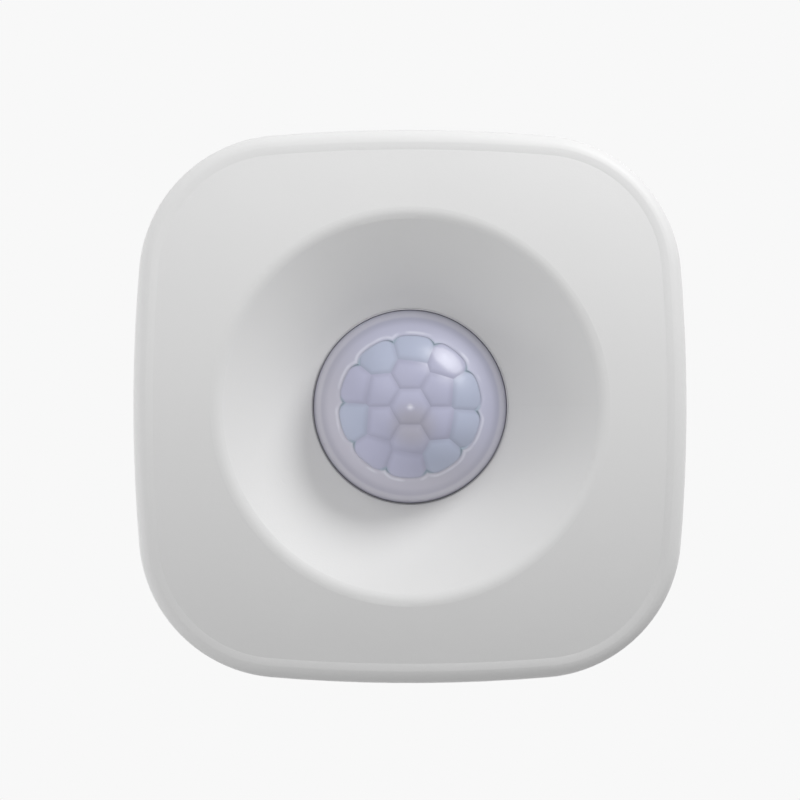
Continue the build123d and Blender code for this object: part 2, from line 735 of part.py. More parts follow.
def gull_leads(place, body_width, pitch, count, knee_h):
    """Bent leads down both sides of a chip, in section: out of its side, down, and along the board."""
    reaches = (lead_knee_reach, lead_heel_reach, lead_toe_reach)
    knee, heel, toe = (body_width / 2 + reach for reach in reaches)
    sole_h = board_front_h + lead_thickness
    bends = [(body_width / 2, knee_h), (knee, knee_h), (heel, sole_h), (toe, sole_h), (toe, board_front_h),
             (heel - lead_thickness, board_front_h), (knee - lead_thickness, knee_h - lead_thickness),
             (body_width / 2, knee_h - lead_thickness)]
    for side in (-1, 1):
        for lead in range(count):
            z = place[1] + (lead - (count - 1) / 2) * pitch
            with BuildSketch(upright(z + lead_width / 2)) as shape:
                with BuildLine():
                    Polyline(*[(place[0] + side * x, h) for x, h in bends], close=True)
                make_face()
            extrude(shape.sketch, amount=lead_width, dir=(0, 0, -1))


with BuildPart() as chip_leads:
    gull_leads(amplifier_place, amplifier_width, pitch=1.27, count=4, knee_h=board_front_h + 0.9)
    gull_leads(regulator_place, regulator_width, pitch=0.95, count=3, knee_h=board_front_h + 0.7)
chip_leads.part.label = "chip_leads"
export_step(chip_leads.part, "parts/chip_leads.step")

# ---- Crystal, capacitors, inductor, resistors
with BuildPart() as crystal:
    blocks([crystal_place], crystal_width, crystal_length, board_front_h, board_front_h + crystal_height)
    fillet(edges().filter_by(Axis.Y), crystal_corner)
crystal.part.label = "crystal"
export_step(crystal.part, "parts/crystal.step")

with BuildPart() as electrolytic_capacitor:
    can_low_h = board_front_h + electrolytic_foot
    blocks([electrolytic_place], electrolytic_foot_width, electrolytic_foot_width, board_front_h,
           can_low_h)
    chamfer(edges().filter_by(Axis.Y).group_by(Axis.X)[-1], electrolytic_foot_chamfer)
    pins([electrolytic_place], electrolytic_radius, can_low_h, board_front_h + electrolytic_height)
    fillet(faces().sort_by(Axis.Y)[0].edges(), electrolytic_edge_fillet)
    with BuildSketch(level(can_low_h + electrolytic_groove_rise)) as groove:
        with Locations(electrolytic_place):
            Circle(electrolytic_radius + overcut)
            Circle(electrolytic_radius - electrolytic_groove_depth, mode=Mode.SUBTRACT)
    extrude(groove.sketch, amount=electrolytic_groove_width, mode=Mode.SUBTRACT)
electrolytic_capacitor.part.label = "electrolytic_capacitor"
export_step(electrolytic_capacitor.part, "parts/electrolytic_capacitor.step")

with BuildPart() as inductor:
    blocks([inductor_place], inductor_width, inductor_width, board_front_h,
           board_front_h + inductor_height)
    fillet(edges().filter_by(Axis.Y), inductor_corner)
inductor.part.label = "inductor"
export_step(inductor.part, "parts/inductor.step")

with BuildPart() as ceramic_capacitors:
    blocks(capacitor_places, small_part_width, small_part_length, board_front_h,
           board_front_h + capacitor_height)
ceramic_capacitors.part.label = "ceramic_capacitors"
export_step(ceramic_capacitors.part, "parts/ceramic_capacitors.step")

with BuildPart() as resistors:
    blocks(resistor_places, small_part_width, small_part_length, board_front_h,
           board_front_h + resistor_height)
resistors.part.label = "resistors"
export_step(resistors.part, "parts/resistors.step")

# ---- Pairing switch on the back of the board, and the pairing button in the case's top side
with BuildPart() as pairing_switch_body:
    blocks([(0, (switch_rear_z + switch_front_z) / 2)], switch_width, switch_front_z - switch_rear_z,
           switch_rear_h, board_rear_h)
    upright_pins([(0, button_h)], switch_bore_radius, switch_front_z - switch_bore_depth,
                 switch_front_z + overcut, Mode.SUBTRACT)
    upright_pins(switch_pip_places, switch_pip_radius, switch_front_z, switch_front_z + switch_pip_height)
pairing_switch_body.part.label = "pairing_switch_body"
export_step(pairing_switch_body.part, "parts/pairing_switch_body.step")

with BuildPart() as pairing_switch_plunger:
    upright_pins([(0, button_h)], switch_plunger_radius, switch_front_z - switch_plunger_depth,
                 button_inner_z)
pairing_switch_plunger.part.label = "pairing_switch_plunger"
export_step(pairing_switch_plunger.part, "parts/pairing_switch_plunger.step")

with BuildPart() as pairing_button:
    upright_pins([(0, button_h)], button_radius, button_inner_z, button_outer_z)
    fillet(faces().sort_by(Axis.Z)[-1].edges(), button_edge_fillet)
    upright_pins([(0, button_h)], button_flange_radius, button_inner_z,
                 button_inner_z + button_flange_thickness)
pairing_button.part.label = "pairing_button"
export_step(pairing_button.part, "parts/pairing_button.step")

# ---- Tamper switch: its plunger rests near the back plate and springs out when the sensor is taken off
with BuildPart() as tamper_switch_body:
    blocks([tamper_place], tamper_body_width, tamper_body_width, tamper_body_rear_h, board_rear_h)
    pins([tamper_place], tamper_bore_radius, tamper_body_rear_h - overcut, tamper_bore_top_h,
         Mode.SUBTRACT)
tamper_switch_body.part.label = "tamper_switch_body"
export_step(tamper_switch_body.part, "parts/tamper_switch_body.step")

with BuildPart() as tamper_plunger:
    pins([tamper_place], tamper_rod_radius, plate_h + tamper_rod_gap, tamper_collar_h)
    pins([tamper_place], tamper_collar_radius, tamper_collar_h, tamper_collar_front_h)
    pins([tamper_place], tamper_stem_radius, tamper_collar_front_h, tamper_body_rear_h + tamper_stem_depth)
    fillet(faces().sort_by(Axis.Y)[-1].edges(), tamper_rod_end_fillet)
tamper_plunger.part.label = "tamper_plunger"
export_step(tamper_plunger.part, "parts/tamper_plunger.step")

with BuildPart() as tamper_spring:
    end_room = tamper_spring_wire + spring_end_gap
    coil((tamper_place[0], end_room - tamper_body_rear_h, tamper_place[1]), (0, 1, 0),
         tamper_body_rear_h - tamper_collar_front_h - 2 * end_room, tamper_spring_turns,
         tamper_spring_radius, tamper_spring_tip_radius, tamper_spring_wire)
tamper_spring.part.label = "tamper_spring"
export_step(tamper_spring.part, "parts/tamper_spring.step")

# ---- Two AAA batteries, each a can with its raised pole, in a printed sleeve
def battery_span(pole_side, trim=0.0):
    """Lowest and highest x of a battery's round body, whose raised pole points to pole_side (-1 or 1)."""
    flat_end = pole_side * (battery_pole_x - battery_length)
    shoulder = pole_side * (battery_pole_x - battery_pole_height)
    return min(flat_end, shoulder) + trim, max(flat_end, shoulder) - trim


def battery_can(pole_side, z):
    sideways_pin(battery_h, z, battery_radius, *battery_span(pole_side))
    shoulder = battery_pole_x - battery_pole_height
    low_x = shoulder if pole_side > 0 else -battery_pole_x
    sideways_pin(battery_h, z, battery_pole_radius, low_x, low_x + battery_pole_height)


def battery_sleeve(pole_side, z):
    sideways_pin(battery_h, z, sleeve_radius, *battery_span(pole_side, sleeve_trim))
    sideways_pin(battery_h, z, battery_radius, *battery_span(pole_side), Mode.SUBTRACT)


with BuildPart() as battery_upper:
    battery_can(1, battery_z)
battery_upper.part.label = "battery_upper"
export_step(battery_upper.part, "parts/battery_upper.step")

with BuildPart() as battery_upper_sleeve:
    battery_sleeve(1, battery_z)
battery_upper_sleeve.part.label = "battery_upper_sleeve"
export_step(battery_upper_sleeve.part, "parts/battery_upper_sleeve.step")

with BuildPart() as battery_lower:
    battery_can(-1, -battery_z)
battery_lower.part.label = "battery_lower"
export_step(battery_lower.part, "parts/battery_lower.step")

with BuildPart() as battery_lower_sleeve:
    battery_sleeve(-1, -battery_z)
battery_lower_sleeve.part.label = "battery_lower_sleeve"
export_step(battery_lower_sleeve.part, "parts/battery_lower_sleeve.step")


# ---- Battery contacts: plates on the bay's end walls, and the springs on them
def contact_plate(side, z, width):
    """Plate against an end wall of the bay, at side -1 or 1."""
    x = side * (bay_half_length - contact_thickness / 2)
    blocks([(x, z)], contact_thickness, width, contact_low_h, contact_high_h)


def contact_dimple(side, z):
    """Low boss that meets a battery's raised pole."""
    face_x = bay_half_length - contact_thickness
    height = face_x - battery_pole_x - contact_gap
    low_x = face_x - height if side > 0 else -face_x
    sideways_pin(battery_h, z, contact_dimple_radius, low_x, low_x + height)


def terminal_tab(z):
    """Strip from a terminal's plate up through the bay's roof and the circuit board."""
    x = bay_half_length - contact_thickness / 2
    blocks([(x, z)], contact_thickness, terminal_tab_width, contact_high_h, terminal_tab_top_h)


def battery_spring(side, z):
    """Cone-shaped spring from a contact plate to a battery's flat end."""
    room = battery_pole_x - battery_length + bay_half_length - contact_thickness
    end_room = spring_wire + spring_end_gap
    base = (side * (bay_half_length - contact_thickness - end_room), -battery_h, z)
    coil(base, (-side, 0, 0), room - 2 * end_room, spring_turns, spring_base_radius, spring_tip_radius,
         spring_wire)


with BuildPart() as battery_bridge_plate:
    contact_plate(-1, 0, 2 * battery_z + contact_width)
    contact_dimple(-1, -battery_z)
battery_bridge_plate.part.label = "battery_bridge_plate"
export_step(battery_bridge_plate.part, "parts/battery_bridge_plate.step")

with BuildPart() as bridge_spring:
    battery_spring(-1, battery_z)
bridge_spring.part.label = "bridge_spring"
export_step(bridge_spring.part, "parts/bridge_spring.step")

with BuildPart() as positive_terminal:
    contact_plate(1, battery_z, contact_width)
    contact_dimple(1, battery_z)
    terminal_tab(battery_z)
positive_terminal.part.label = "positive_terminal"
export_step(positive_terminal.part, "parts/positive_terminal.step")

with BuildPart() as negative_terminal:
    contact_plate(1, -battery_z, contact_width)
    terminal_tab(-battery_z)
negative_terminal.part.label = "negative_terminal"
export_step(negative_terminal.part, "parts/negative_terminal.step")

with BuildPart() as negative_spring:
    battery_spring(1, -battery_z)
negative_spring.part.label = "negative_spring"
export_step(negative_spring.part, "parts/negative_spring.step")


# ---- Screws: four from behind that hold the case together, and two that hold the board
def cross_recess(places, low_h, high_h):
    """Cross slots sunk in screw heads between two levels."""
    blocks(places, cross_length, cross_width, low_h, high_h, Mode.SUBTRACT)
    blocks(places, cross_width, cross_length, low_h, high_h, Mode.SUBTRACT)


with BuildPart() as housing_screws:
    head_face_h = counterbore_h - screw_head_height
    pins(housing_screw_places, screw_head_radius, head_face_h, counterbore_h)
    fillet(faces().filter_by(GeomType.PLANE).group_by(Axis.Y)[-1].edges(), screw_head_fillet)
    pins(housing_screw_places, screw_radius, counterbore_h, screw_tip_h)
    cross_recess(housing_screw_places, head_face_h, head_face_h + cross_depth)
housing_screws.part.label = "housing_screws"
export_step(housing_screws.part, "parts/housing_screws.step")

with BuildPart() as board_screws:
    head_face_h = board_front_h + board_screw_head_height
    pins(board_screw_places, board_screw_head_radius, board_front_h, head_face_h)
    fillet(faces().filter_by(GeomType.PLANE).group_by(Axis.Y)[0].edges(), screw_head_fillet)
    pins(board_screw_places, board_screw_radius, board_front_h - board_screw_length, board_front_h)
    cross_recess(board_screw_places, head_face_h - cross_depth, head_face_h)
board_screws.part.label = "board_screws"
export_step(board_screws.part, "parts/board_screws.step")
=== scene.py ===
import json
import math

import bpy
from mathutils import Matrix, Vector


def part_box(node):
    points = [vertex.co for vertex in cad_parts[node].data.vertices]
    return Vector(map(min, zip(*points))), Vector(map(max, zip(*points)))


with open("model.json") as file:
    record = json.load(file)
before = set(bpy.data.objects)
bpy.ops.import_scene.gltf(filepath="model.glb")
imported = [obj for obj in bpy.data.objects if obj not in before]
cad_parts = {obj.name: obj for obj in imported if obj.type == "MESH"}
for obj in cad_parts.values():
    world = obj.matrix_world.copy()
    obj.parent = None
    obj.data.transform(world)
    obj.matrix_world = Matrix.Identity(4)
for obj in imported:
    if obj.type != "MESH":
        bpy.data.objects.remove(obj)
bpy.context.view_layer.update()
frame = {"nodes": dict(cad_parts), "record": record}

# ---------------------------------------------------------------- sizes and places, in metres
MM = 0.001
LENS_RADIUS = 11.88 * MM
case_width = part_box("rear_housing")[1].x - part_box("rear_housing")[0].x
seam_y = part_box("front_cover")[1].y
lens_centre = Vector((0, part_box("lens")[0].y + LENS_RADIUS, 0))


def unit_vector(tilt, turn):
    """Direction tilt degrees off -Y, turned round it by turn degrees from +X towards +Z."""
    polar, around = math.radians(tilt), math.radians(turn)
    return Vector((math.sin(polar) * math.cos(around), -math.cos(polar), math.sin(polar) * math.sin(around)))


# ---------------------------------------------------------------- node helpers


def new_material(name):
    """A material with an empty Principled shader, as (material, tree, shader)."""
    made = bpy.data.materials.new(name)
    made.use_nodes = True
    tree = made.node_tree
    return made, tree, tree.nodes["Principled BSDF"]


def node(tree, kind, **settings):
    """A new node. Settings that name an input set its value, the others set the node's own properties."""
    made = tree.nodes.new(kind)
    for key, value in settings.items():
        if hasattr(made, key):
            setattr(made, key, value)
        else:
            made.inputs[key.replace("_", " ")].default_value = value
    return made


def join(tree, source, target):
    tree.links.new(source, target)


def math_node(tree, operation, *values):
    """A Math node whose inputs are numbers or other nodes' outputs."""
    made = node(tree, "ShaderNodeMath", operation=operation)
    for socket, value in zip(made.inputs, values):
        if isinstance(value, (int, float)):
            socket.default_value = value
        else:
            join(tree, value, socket)
    return made.outputs[0]


def vector_math(tree, operation, vector, fixed=None, result="Vector"):
    """A Vector Math node on a vector and, where it takes two, a fixed one."""
    made = node(tree, "ShaderNodeVectorMath", operation=operation)
    join(tree, vector, made.inputs[0])
    if fixed is not None:
        made.inputs[1].default_value = fixed
    return made.outputs[result]


def dot_with(tree, vector, fixed):
    return vector_math(tree, "DOT_PRODUCT", vector, fixed, "Value")


def parts_of(tree, vector):
    """The vector's X, Y and Z outputs, by name."""
    made = node(tree, "ShaderNodeSeparateXYZ")
    join(tree, vector, made.inputs[0])
    return made.outputs


def place(tree):
    """Position on the piece, in metres, the same at every pose."""
    return tree.nodes.new("ShaderNodeTexCoord").outputs["Object"]


def noise(tree, size, detail=3.0, roughness=0.55):
    """Noise from 0 to 1 whose blotches are about size metres across."""
    made = node(tree, "ShaderNodeTexNoise", Scale=1 / size, Detail=detail, Roughness=roughness)
    join(tree, place(tree), made.inputs["Vector"])
    return made.outputs["Fac"]


def spread(tree, value, low_value, high_value, from_low=0.3, from_high=0.7):
    """value brought from its usual range to low_value .. high_value."""
    made = node(tree, "ShaderNodeMapRange", From_Min=from_low, From_Max=from_high,
                To_Min=low_value, To_Max=high_value)
    join(tree, value, made.inputs["Value"])
    return made.outputs["Result"]


def smooth(tree, value, low_value, high_value, from_low, from_high):
    """As spread, with soft ends."""
    result = spread(tree, value, low_value, high_value, from_low, from_high)
    result.node.interpolation_type = "SMOOTHSTEP"
    return result


def fade(tree, value, inner, outer, strength=1.0):
    """strength where value is below inner, and softly down to 0 at outer."""
    return smooth(tree, value, strength, 0.0, inner, outer)


def blend_colours(tree, share, first, second):
    """Colour from first to second by share. Colours are tuples or outputs."""
    made = node(tree, "ShaderNodeMix", data_type="RGBA")
    sockets = [s for s in made.inputs if s.type == "RGBA"]
    for socket, value in zip(sockets, (first, second)):
        if isinstance(value, tuple):
            socket.default_value = (*value, 1.0)
        else:
            join(tree, value, socket)
    factor = [s for s in made.inputs if s.name == "Factor" and s.type == "VALUE"][0]
    join(tree, share, factor)
    return [s for s in made.outputs if s.type == "RGBA"][0]


def darker(colour, share):
    return tuple(channel * share for channel in colour)


def mottled(tree, size, first, second, detail=3.0):
    """Colour that wanders between two tints, in blotches of about size metres."""
    return blend_colours(tree, spread(tree, noise(tree, size, detail), 0.0, 1.0), first, second)


def set_roughness(tree, shader, grain, low, high):
    """Roughness that follows the grain from low to high."""
    join(tree, spread(tree, grain, low, high), shader.inputs["Roughness"])


def bump(tree, shader, height, depth):
    """Bumps the shader's surface by height (0 to 1) times depth metres."""
    made = node(tree, "ShaderNodeBump", Strength=1.0, Distance=depth)
    join(tree, height, made.inputs["Height"])
    join(tree, made.outputs["Normal"], shader.inputs["Normal"])


# ---------------------------------------------------------------- plain and printed finishes
CASE_COLOUR = (0.742, 0.742, 0.742)
# Grey silicone under painted shade and under painted light, for the gasket.
SILICONE_PAINTED_SHADE = (0.37, 0.37, 0.39)
SILICONE_PAINTED_LIGHT = (0.78, 0.78, 0.81)
SLEEVE_BLUES = ((0.015, 0.05, 0.14), (0.02, 0.065, 0.17))
SLEEVE_COPPER = (0.50, 0.22, 0.08)
TIN = (0.62, 0.61, 0.60)
ALUMINIUM = ((0.76, 0.76, 0.77), (0.68, 0.68, 0.69))
CAN_BLACK = (0.015, 0.015, 0.017)


def case_plastic():
    """Satin white ABS with the fine grain of a spark-eroded mould."""
    made, tree, shader = new_material("case_plastic")
    tint = mottled(tree, 18 * MM, CASE_COLOUR, darker(CASE_COLOUR, 0.985), detail=2.0)
    join(tree, tint, shader.inputs["Base Color"])
    grain = noise(tree, 0.22 * MM, 3.0, 0.6)
    set_roughness(tree, shader, grain, 0.44, 0.54)
    bump(tree, shader, grain, 0.006 * MM)
    return made


def simple_solid(name, colour, roughness, metallic=0.0):
    """Plain moulded or rolled finish: colour that varies softly, and a fine grain."""
    made, tree, shader = new_material(name)
    join(tree, mottled(tree, 5 * MM, colour, darker(colour, 0.88)), shader.inputs["Base Color"])
    grain = noise(tree, 0.4 * MM)
    set_roughness(tree, shader, grain, roughness * 0.85, roughness * 1.15)
    shader.inputs["Metallic"].default_value = metallic
    bump(tree, shader, grain, 0.004 * MM)
    return made


def gasket_rubber():
    """Soft grey silicone with painted light and shade: paler on the side where light comes through the lens's
    neck, darker on the far side.
    """
    made, tree, shader = new_material("gasket_rubber")
    # Painted light and shade: the grey runs from darker to paler towards the key lamp's side.
    towards_light = (0.5, 0.0, 0.87)
    reach = 0.8 * LENS_RADIUS
    lit = smooth(tree, dot_with(tree, place(tree), towards_light), 0.0, 1.0, -reach, reach)
    join(tree, blend_colours(tree, lit, SILICONE_PAINTED_SHADE, SILICONE_PAINTED_LIGHT), shader.inputs["Base Color"])
    set_roughness(tree, shader, noise(tree, 0.4 * MM), 0.51, 0.69)
    return made


def battery_print():
    """Shrink sleeve: dark blue with a copper band at the raised pole's end."""
    made, tree, shader = new_material("battery_sleeve")
    parts = parts_of(tree, place(tree))
    # The upper cell's pole is at the right and the lower cell's at the left.
    pole_side = math_node(tree, "MULTIPLY", parts["X"], math_node(tree, "SIGN", parts["Z"]))
    band = smooth(tree, pole_side, 0.0, 1.0, 11.9 * MM, 12.1 * MM)
    colour = blend_colours(tree, band, mottled(tree, 3 * MM, *SLEEVE_BLUES), SLEEVE_COPPER)
    join(tree, colour, shader.inputs["Base Color"])
    set_roughness(tree, shader, noise(tree, 0.5 * MM), 0.18, 0.30)
    return made


def board_mask(name, mask, trace):
    """Glossy solder mask, with the copper traces under it showing as slightly paler lines."""
    made, tree, shader = new_material(name)
    turned = node(tree, "ShaderNodeMapping", Rotation=(math.radians(90), 0, 0))
    join(tree, place(tree), turned.inputs["Vector"])
    lines = node(tree, "ShaderNodeTexBrick", Scale=1 / MM, Mortar_Size=0.11, Mortar_Smooth=0.2,
                 Brick_Width=3.3, Row_Height=0.83)
    join(tree, turned.outputs["Vector"], lines.inputs["Vector"])
    routed = smooth(tree, noise(tree, 6 * MM, 1.0), 0.0, 1.0, 0.42, 0.50)
    share = math_node(tree, "MULTIPLY", lines.outputs["Fac"], routed)
    join(tree, blend_colours(tree, share, mask, trace), shader.inputs["Base Color"])
    set_roughness(tree, shader, noise(tree, 0.8 * MM), 0.22, 0.34)
    bump(tree, shader, share, 0.03 * MM)
    return made


def tinned_ends(name, node_name, colour):
    """Small chips in a lower and an upper row, each with a tinned third at both ends."""
    made, tree, shader = new_material(name)
    chip_half, body_half = 0.8 * MM, 0.5 * MM
    height = parts_of(tree, place(tree))["Z"]
    low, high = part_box(node_name)
    away = [math_node(tree, "ABSOLUTE", math_node(tree, "SUBTRACT", height, row))
            for row in (low.z + chip_half, high.z - chip_half)]
    tinned = math_node(tree, "GREATER_THAN", math_node(tree, "MINIMUM", *away), body_half)
    body = mottled(tree, 0.6 * MM, colour, darker(colour, 0.85))
    join(tree, blend_colours(tree, tinned, body, TIN), shader.inputs["Base Color"])
    join(tree, tinned, shader.inputs["Metallic"])
    set_roughness(tree, shader, noise(tree, 0.3 * MM), 0.32, 0.48)
    return made


def capacitor_can():
    """Bare aluminium can on a black foot, with a black mark over one side of its top."""
    made, tree, shader = new_material("capacitor_can")
    foot_height, top_depth, mark_edge = 0.42 * MM, 0.05 * MM, 1.1 * MM
    low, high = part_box("electrolytic_capacitor")
    parts = parts_of(tree, place(tree))
    foot = math_node(tree, "GREATER_THAN", parts["Y"], high.y - foot_height)
    on_top = math_node(tree, "LESS_THAN", parts["Y"], low.y + top_depth)
    beside = math_node(tree, "LESS_THAN", parts["X"], (low.x + high.x) / 2 - mark_edge)
    black = math_node(tree, "MAXIMUM", foot, math_node(tree, "MULTIPLY", on_top, beside))
    colour = blend_colours(tree, black, mottled(tree, 1 * MM, *ALUMINIUM), CAN_BLACK)
    join(tree, colour, shader.inputs["Base Color"])
    join(tree, math_node(tree, "SUBTRACT", 1.0, black), shader.inputs["Metallic"])
    set_roughness(tree, shader, noise(tree, 0.25 * MM), 0.26, 0.40)
    return made


# ---------------------------------------------------------------- the lens
# Rings of equal cells: degrees off the dome's axis, degrees round it to the first, a letter for each tint.
LENS_CELLS = [(0.0, 0.0, "l"), (20.1, 90.0, "llllll"), (33.1, 86.6, "bblbllbbbl")]
CELL_TINTS = {"l": (0.455, 0.460, 0.605), "b": (0.445, 0.485, 0.620)}
# Degrees from a cell's middle, and off the dome's axis, at which the cell field ends.
CELL_REACH = 12.9
FIELD_REACH = 44.1
# The skirt's tints on its lit side and its shaded side: painted light and painted shade.
LIT_SKIRT_PAINTED = (0.49, 0.495, 0.630)
SHADED_SKIRT_PAINTED = (0.525, 0.515, 0.60)
FOOT_TINT = (0.60, 0.59, 0.65)
# Colour of the lines, and of the painted shade in the creases between the cells and round their field.
LINE_AND_SHADE_TINT = (0.24, 0.24, 0.33)
# Painted highlight: the pale line where the cell field's step catches the light.
EDGE_HIGHLIGHT = (0.80, 0.81, 0.90)
# Painted shade where the lines between cells meet the field's edge.
CORNER_SHADE_TINT = (0.26, 0.37, 0.44)
CENTRE_SHADE = (0.43, 0.415, 0.475)
GATE_TINT = (0.75, 0.75, 0.82)
# The greyer patch where the detector behind the dome shows through, full up to a radius and gone at another.
SHADE_PLACE = (0.3 * MM, -LENS_RADIUS, -2.3 * MM)
SHADE_RADII = (1.0 * MM, 3.6 * MM)
# The moulding point at the dome's middle, in the same way.
GATE_RADII = (0.08 * MM, 0.50 * MM)
# Radii where the line round the foot starts, is darkest and ends, and where painted shade starts as the edge
# turns in to the neck.
FOOT_START, FOOT_RADIUS, FOOT_END = 9.4 * MM, 10.2 * MM, 10.6 * MM
TURN_START, NECK_RADIUS = 10.8 * MM, 11.25 * MM
# How far lines darken the plastic: painted shade in the creases between cells, round the field and at the
# lines' ends, and the line at the dome's foot.
GROOVE_SHARE, EDGE_SHARE, CORNER_SHARE, FOOT_SHARE = 0.25, 0.20, 0.65, 0.22
# Widths over the dome, in radians.
GROOVE_WIDTH, EDGE_WIDTH, CORNER_WIDTH, HIGHLIGHT_WIDTH = 0.050, 0.030, 0.08, 0.032
HIGHLIGHT_INSET = 0.040
EDGE_ROUNDING = 0.03
EDGE_SOFTNESS = 0.012
# The cells' relief: its depth, and the field's step down from the smooth skirt as a share of it.
RELIEF_DEPTH = 13 * MM
FIELD_STEP = 0.015


def cells():
    """Unit vector from the dome's middle to each cell's middle, and the cell's tint."""
    for tilt, first, tints in LENS_CELLS:
        for step, tint in enumerate(tints):
            yield unit_vector(tilt, first + 360 * step / len(tints)), tint


def nearest_cells(tree, direction):
    """Cosines of the angles to the nearest two cells' middles, and the nearest cell's tint."""
    nearest, second, tint = -1.0, -1.0, CELL_TINTS["l"]
    for towards, letter in cells():
        closeness = dot_with(tree, direction, towards)
        wins = math_node(tree, "GREATER_THAN", closeness, nearest)
        tint = blend_colours(tree, wins, tint, CELL_TINTS[letter])
        second = math_node(tree, "MAXIMUM", second, math_node(tree, "MINIMUM", nearest, closeness))
        nearest = math_node(tree, "MAXIMUM", nearest, closeness)
    return nearest, second, tint


def angle_to_line(tree, nearest, second):
    """Angle to the line between the two nearest cells."""
    spacing = math.radians(LENS_CELLS[1][0])
    return math_node(tree, "DIVIDE", math_node(tree, "SUBTRACT", nearest, second), 2 * math.sin(spacing / 2))


def angle_to_edge(tree, direction, nearest):
    """Angle to the scalloped edge of the cell field, above 0 inside it."""
    to_cell_end = math_node(tree, "SUBTRACT", math.radians(CELL_REACH), math_node(tree, "ARCCOSINE", nearest))
    off_axis = math_node(tree, "ARCCOSINE", dot_with(tree, direction, (0, -1, 0)))
    to_field_end = math_node(tree, "SUBTRACT", math.radians(FIELD_REACH), off_axis)
    return math_node(tree, "SMOOTH_MIN", to_cell_end, to_field_end, EDGE_ROUNDING)


def radius_from_axis(tree, from_middle):
    parts = parts_of(tree, from_middle)
    squares = [math_node(tree, "POWER", parts[name], 2.0) for name in "XZ"]
    return math_node(tree, "SQRT", math_node(tree, "ADD", *squares))


def skirt_colour(tree, direction, radius):
    """The smooth plastic round the cells, with painted light and shade: lilac on the side towards the key
    lamp, greyer on the shaded side below; paler at the foot.
    """
    towards_light = (0.6, 0.0, 0.8)
    # Painted light: the tint turns lilac towards the key lamp and greyer away from it.
    upper = smooth(tree, dot_with(tree, direction, towards_light), 0.0, 1.0, -0.5, 0.5)
    skirt = blend_colours(tree, upper, SHADED_SKIRT_PAINTED, LIT_SKIRT_PAINTED)
    at_foot = smooth(tree, radius, 0.0, 0.5, FOOT_RADIUS, FOOT_RADIUS + 0.3 * MM)
    return blend_colours(tree, at_foot, skirt, FOOT_TINT)


def cell_colour(tree, from_middle, tint):
    """The cell's own tint, greyer in front of the detector."""
    distance = vector_math(tree, "DISTANCE", from_middle, SHADE_PLACE, "Value")
    return blend_colours(tree, fade(tree, distance, *SHADE_RADII, strength=0.7), tint, CENTRE_SHADE)


def foot_lines(tree, radius):
    """Share of darkening in the line round the dome's foot, and of painted shade in its turned edge."""
    rise = smooth(tree, radius, 0.0, 1.0, FOOT_START, FOOT_RADIUS)
    foot_line = math_node(tree, "MULTIPLY", rise, fade(tree, radius, FOOT_RADIUS, FOOT_END))
    # Painted shade where the dome's edge turns in to the neck.
    turned_edge = smooth(tree, radius, 0.0, 0.35, TURN_START, NECK_RADIUS)
    return math_node(tree, "MAXIMUM", math_node(tree, "MULTIPLY", foot_line, FOOT_SHARE), turned_edge)


def painted_edge_highlight(tree, to_edge):
    """Share of the painted highlight, a pale line just outside the cell field where its step catches the
    light, which comes and goes.
    """
    off_line = math_node(tree, "ABSOLUTE", math_node(tree, "ADD", to_edge, HIGHLIGHT_INSET))
    patchy = smooth(tree, noise(tree, 2.6 * MM, 1.0), 0.04, 0.46, 0.42, 0.60)
    return math_node(tree, "MULTIPLY", fade(tree, off_line, 0.0, HIGHLIGHT_WIDTH), patchy)


def painted_gathered_light(tree, direction, colour):
    """Painted light: the dome's colour grows paler downwards and away from the lamps, for light gathered in
    the plastic.
    """
    towards_light = (0.10, 0.0, 0.25)
    scaled = node(tree, "ShaderNodeVectorMath", operation="SCALE")
    join(tree, colour, scaled.inputs[0])
    paler = math_node(tree, "SUBTRACT", 1.04, dot_with(tree, direction, towards_light))
    join(tree, paler, scaled.inputs["Scale"])
    return scaled.outputs["Vector"]


